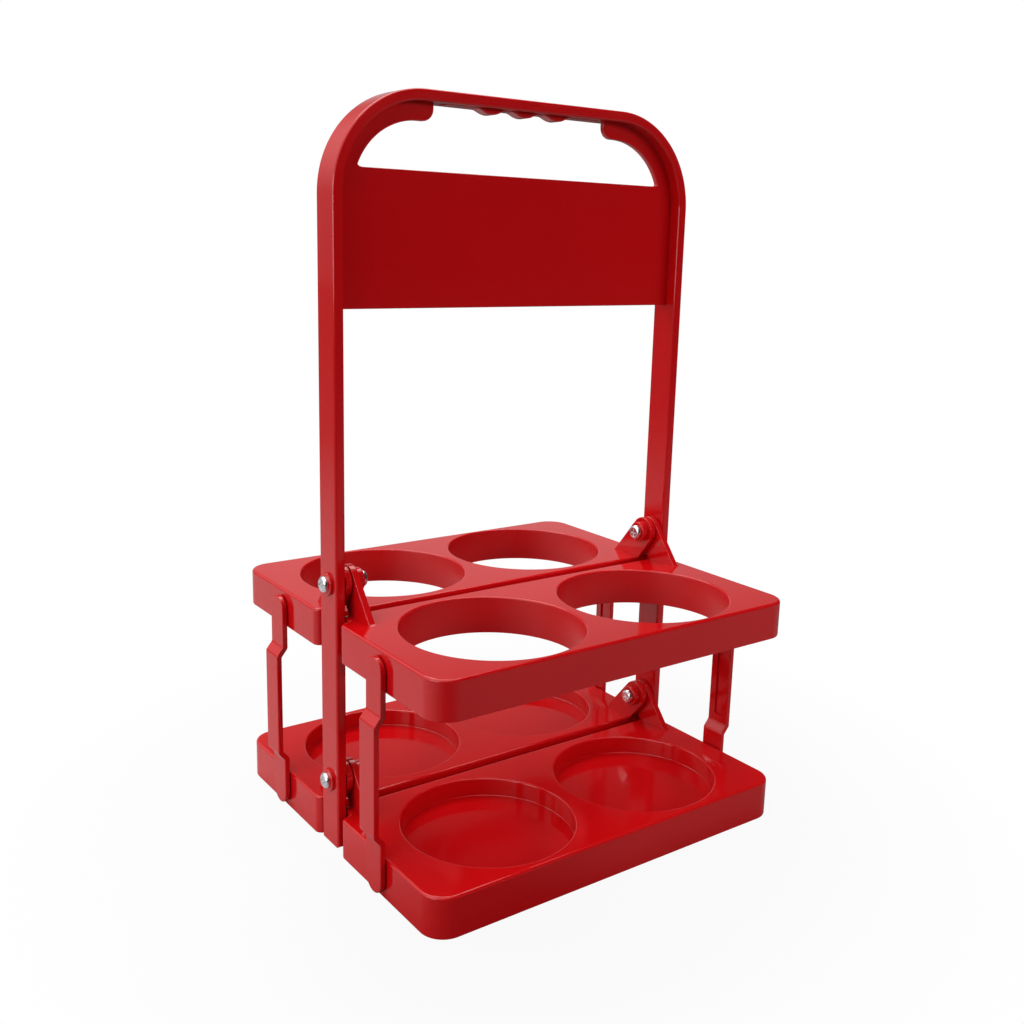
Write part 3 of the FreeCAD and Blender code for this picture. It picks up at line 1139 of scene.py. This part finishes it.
@dataclass(frozen=True)
class Studio:
    """Pale floor with painted pools of light, soft lamps, pale surroundings and the photograph's
    camera.
    """

    floor_size: float = 12.0
    floor_roughness: float = 0.8
    # Painted light on the floor: its colour to all but the camera is brighter towards the rear
    # left, dim to the front right and fading with distance, as lamp light and the carrier's shade
    # would make it.
    light_pool_way: Point = (-0.6, 0.8, 0.0)
    left_light_pool: Ramp = Ramp(-0.3, 0.7, 0.04, 0.42)
    right_light_pool: Ramp = Ramp(-0.4, -0.95, 0.0, 0.15)
    light_pool_edge: Ramp = Ramp(0.4, 1.2, 1.0, 0.25)
    camera_white: Ramp = Ramp(0.10, 0.28, 0.94, 1.0)
    back_way: Point = (0.35, 0.85, -0.4)
    back_light: Ramp = Ramp(0.55, 0.78, 0.03, 0.46)
    top_way: Point = (-0.6, 0.2, 0.775)
    top_light: Ramp = Ramp(0.3, 0.95, 0.0, 1.35)
    place: Point = (-0.29497, -0.40756, 0.26008)
    azimuth: float = -35.829
    elevation: float = 12.071
    roll: float = 1.464
    focal_px: float = 1119.445
    frame_px: float = 1024.0
    principal: tuple[float, float] = (510.894, 484.262)
    sensor_mm: float = 36.0
    clip: tuple[float, float] = (0.01, 50.0)
    lamps: tuple[Lamp, ...] = (
        Lamp("over", (-0.1, 0.1, 1.6), (1.6, 1.6), 6.5),
        Lamp("back", (0.3, 0.9, 1.8), (1.8, 1.0), 19.0),
        Lamp("left", (-1.7, -0.3, 0.45), (1.2, 0.6), 7.4),
        Lamp("front", (0.95, -1.15, 0.6), (1.4, 0.35), 11.6, mirrored=False),
    )

    @staticmethod
    def maths(tree: bpy.types.NodeTree, kind: str, first: bpy.types.NodeSocket,
              second: bpy.types.NodeSocket) -> bpy.types.NodeSocket:
        """Joins two values by a sum or a product.

        Args:
            tree: The node tree.
            kind: The operation's name.
            first: One value.
            second: The other.

        Returns:
            The result.
        """
        node = tree.nodes.new("ShaderNodeMath")
        node.operation = kind
        tree.links.new(first, node.inputs[0])
        tree.links.new(second, node.inputs[1])
        return node.outputs[0]

    @staticmethod
    def along(tree: bpy.types.NodeTree, place: bpy.types.NodeSocket,
              way: Point) -> bpy.types.NodeSocket:
        """Says how far a place lies towards a direction, as a cosine.

        Args:
            tree: The node tree.
            place: A place or direction.
            way: The direction, of length one.

        Returns:
            The cosine.
        """
        unit = tree.nodes.new("ShaderNodeVectorMath")
        unit.operation = "NORMALIZE"
        tree.links.new(place, unit.inputs[0])
        dot = tree.nodes.new("ShaderNodeVectorMath")
        dot.operation = "DOT_PRODUCT"
        dot.inputs[1].default_value = way
        tree.links.new(unit.outputs["Vector"], dot.inputs[0])
        return dot.outputs["Value"]

    def floor(self) -> None:
        """Lays the floor: white to the camera with a soft shadow, and to all else a colour with
        two painted pools of light that fade away from the carrier.
        """
        let_go()
        bpy.ops.mesh.primitive_plane_add(size=self.floor_size, location=(0, 0, 0))
        ground = bpy.context.object
        ground.name = "floor"
        material = bpy.data.materials.new("pale_floor_painted_light")
        material.use_nodes = True
        tree = material.node_tree
        nodes, links = tree.nodes, tree.links
        shader = nodes["Principled BSDF"]
        shader.inputs["Roughness"].default_value = self.floor_roughness
        place = nodes.new("ShaderNodeTexCoord").outputs["Object"]
        length = nodes.new("ShaderNodeVectorMath")
        length.operation = "LENGTH"
        links.new(place, length.inputs[0])
        away = length.outputs["Value"]
        # Painted light: the floor's colour brightens in pools towards the rear left and fades
        # with distance, standing in for lamp light and shade on the floor.
        side = self.along(tree, place, self.light_pool_way)
        light_pools = self.maths(tree, "ADD", self.left_light_pool.make(tree, side),
                           self.right_light_pool.make(tree, side))
        painted_light_tone = self.maths(tree, "MULTIPLY", light_pools, self.light_pool_edge.make(tree, away))
        links.new(painted_light_tone, shader.inputs["Base Color"])
        glow = nodes.new("ShaderNodeEmission")
        path = nodes.new("ShaderNodeLightPath")
        share = self.maths(tree, "MULTIPLY", path.outputs["Is Camera Ray"],
                           self.camera_white.make(tree, away))
        mix = nodes.new("ShaderNodeMixShader")
        links.new(share, mix.inputs["Fac"])
        links.new(shader.outputs["BSDF"], mix.inputs[1])
        links.new(glow.outputs["Emission"], mix.inputs[2])
        links.new(mix.outputs["Shader"], nodes["Material Output"].inputs["Surface"])
        ground.data.materials.append(material)

    def surroundings(self) -> None:
        """Sets the world: white to the camera, and to all else bright above and behind."""
        world = bpy.data.worlds.new("studio")
        bpy.context.scene.world = world
        world.use_nodes = True
        tree = world.node_tree
        nodes, links = tree.nodes, tree.links
        nodes.clear()
        out = nodes.new("ShaderNodeOutputWorld")
        place = nodes.new("ShaderNodeTexCoord").outputs["Generated"]
        behind = self.back_light.make(tree, self.along(tree, place, self.back_way))
        above = self.top_light.make(tree, self.along(tree, place, self.top_way))
        ambient = nodes.new("ShaderNodeBackground")
        ambient.inputs["Color"].default_value = (1, 1, 1, 1)
        links.new(self.maths(tree, "ADD", behind, above), ambient.inputs["Strength"])
        white = nodes.new("ShaderNodeBackground")
        white.inputs["Color"].default_value = (1, 1, 1, 1)
        path = nodes.new("ShaderNodeLightPath")
        mix = nodes.new("ShaderNodeMixShader")
        links.new(path.outputs["Is Camera Ray"], mix.inputs["Fac"])
        links.new(ambient.outputs["Background"], mix.inputs[1])
        links.new(white.outputs["Background"], mix.inputs[2])
        links.new(mix.outputs["Shader"], out.inputs["Surface"])

    def camera(self) -> None:
        """Places the camera as the photograph's was."""
        a, e, r = (math.radians(x) for x in (self.azimuth, self.elevation, self.roll))
        back = Vector((math.sin(a) * math.cos(e), -math.cos(a) * math.cos(e), math.sin(e)))
        right = Vector((math.cos(a), math.sin(a), 0))
        up = back.cross(right)
        across = right * math.cos(r) + up * math.sin(r)
        upright = up * math.cos(r) - right * math.sin(r)
        data = bpy.data.cameras.new("photo_camera")
        data.sensor_width = self.sensor_mm
        data.lens = self.focal_px / self.frame_px * data.sensor_width
        half = self.frame_px / 2
        data.shift_x = (half - self.principal[0]) / self.frame_px
        data.shift_y = (self.principal[1] - half) / self.frame_px
        data.clip_start, data.clip_end = self.clip
        camera = bpy.data.objects.new("photo_camera", data)
        bpy.context.scene.collection.objects.link(camera)
        pose = Matrix((across, upright, back)).transposed().to_4x4()
        pose.translation = Vector(self.place)
        camera.matrix_world = pose
        bpy.context.scene.camera = camera

    def build(self) -> None:
        """Sets up floor, surroundings, lamps and camera."""
        self.floor()
        self.surroundings()
        for lamp in self.lamps:
            lamp.make()
        self.camera()
        bpy.context.scene.view_settings.view_transform = "Standard"


# The carrier


@dataclass
class Carrier:
    """The whole carrier: builds each kind of piece once and copies what repeats."""

    wardrobe: Wardrobe = field(default_factory=Wardrobe)

    def trays(self) -> None:
        """Builds and dresses the four trays."""
        upper = Tray("upper", LAY.upper_top - LAY.upper_height, LAY.upper_top,
                     LAY.upper_axis, LAY.hole_r, LAY.hole_r + LAY.wall)
        lower = BaseTray("lower", 0.0, LAY.lower_height, LAY.lower_axis, LAY.cup_r,
                         LAY.cup_r + LAY.wall)
        for level, tray in (("upper", upper), ("lower", lower)):
            front = tray.build()
            rear = copy_of(front, "rear", HALF_TURN)
            for end, piece in (("front", front), ("rear", rear)):
                self.wardrobe.dress(piece, f"{level}_tray_{end}", f"{level}_{end}", Slot.PLASTIC)

    def links(self) -> None:
        """Builds and dresses the four side links."""
        front_right = SideLink().build()
        across = Matrix.Translation((0, 2 * LAY.link_y * MM, 0))
        rear_left = copy_of(front_right, "rear_left", HALF_TURN)
        rear_right = copy_of(front_right, "rear_right", across)
        front_left = copy_of(rear_left, "front_left", across.inverted())
        made = {"front_right": front_right, "rear_left": rear_left,
                "rear_right": rear_right, "front_left": front_left}
        for corner, piece in made.items():
            self.wardrobe.dress(piece, f"link_{corner}", f"link_{corner}", Slot.PLASTIC)

    def screws(self) -> None:
        """Builds and dresses the hinge screws and barrel nuts."""
        for level, z in (("upper", LAY.upper_axis), ("lower", LAY.lower_axis)):
            pair = HingeScrews(z)
            for kind, right in (("pivot_screw", pair.screw()), ("barrel_nut", pair.nut())):
                left = copy_of(right, "left", HALF_TURN)
                for side, piece in (("right", right), ("left", left)):
                    self.wardrobe.dress(piece, f"{kind}_{level}_{side}", "frame", Slot.CHROME)

    def build(self) -> None:
        """Builds every piece in order."""
        self.wardrobe.dress(HandleFrame().build(), "handle_frame", "frame", Slot.PLASTIC)
        self.trays()
        self.links()
        self.screws()


def main() -> None:
    """Builds the carrier and its stage."""
    logging.basicConfig(level=logging.INFO, format="%(name)s: %(message)s")
    Carrier().build()
    Studio().build()


if __name__ == "__main__":
    main()
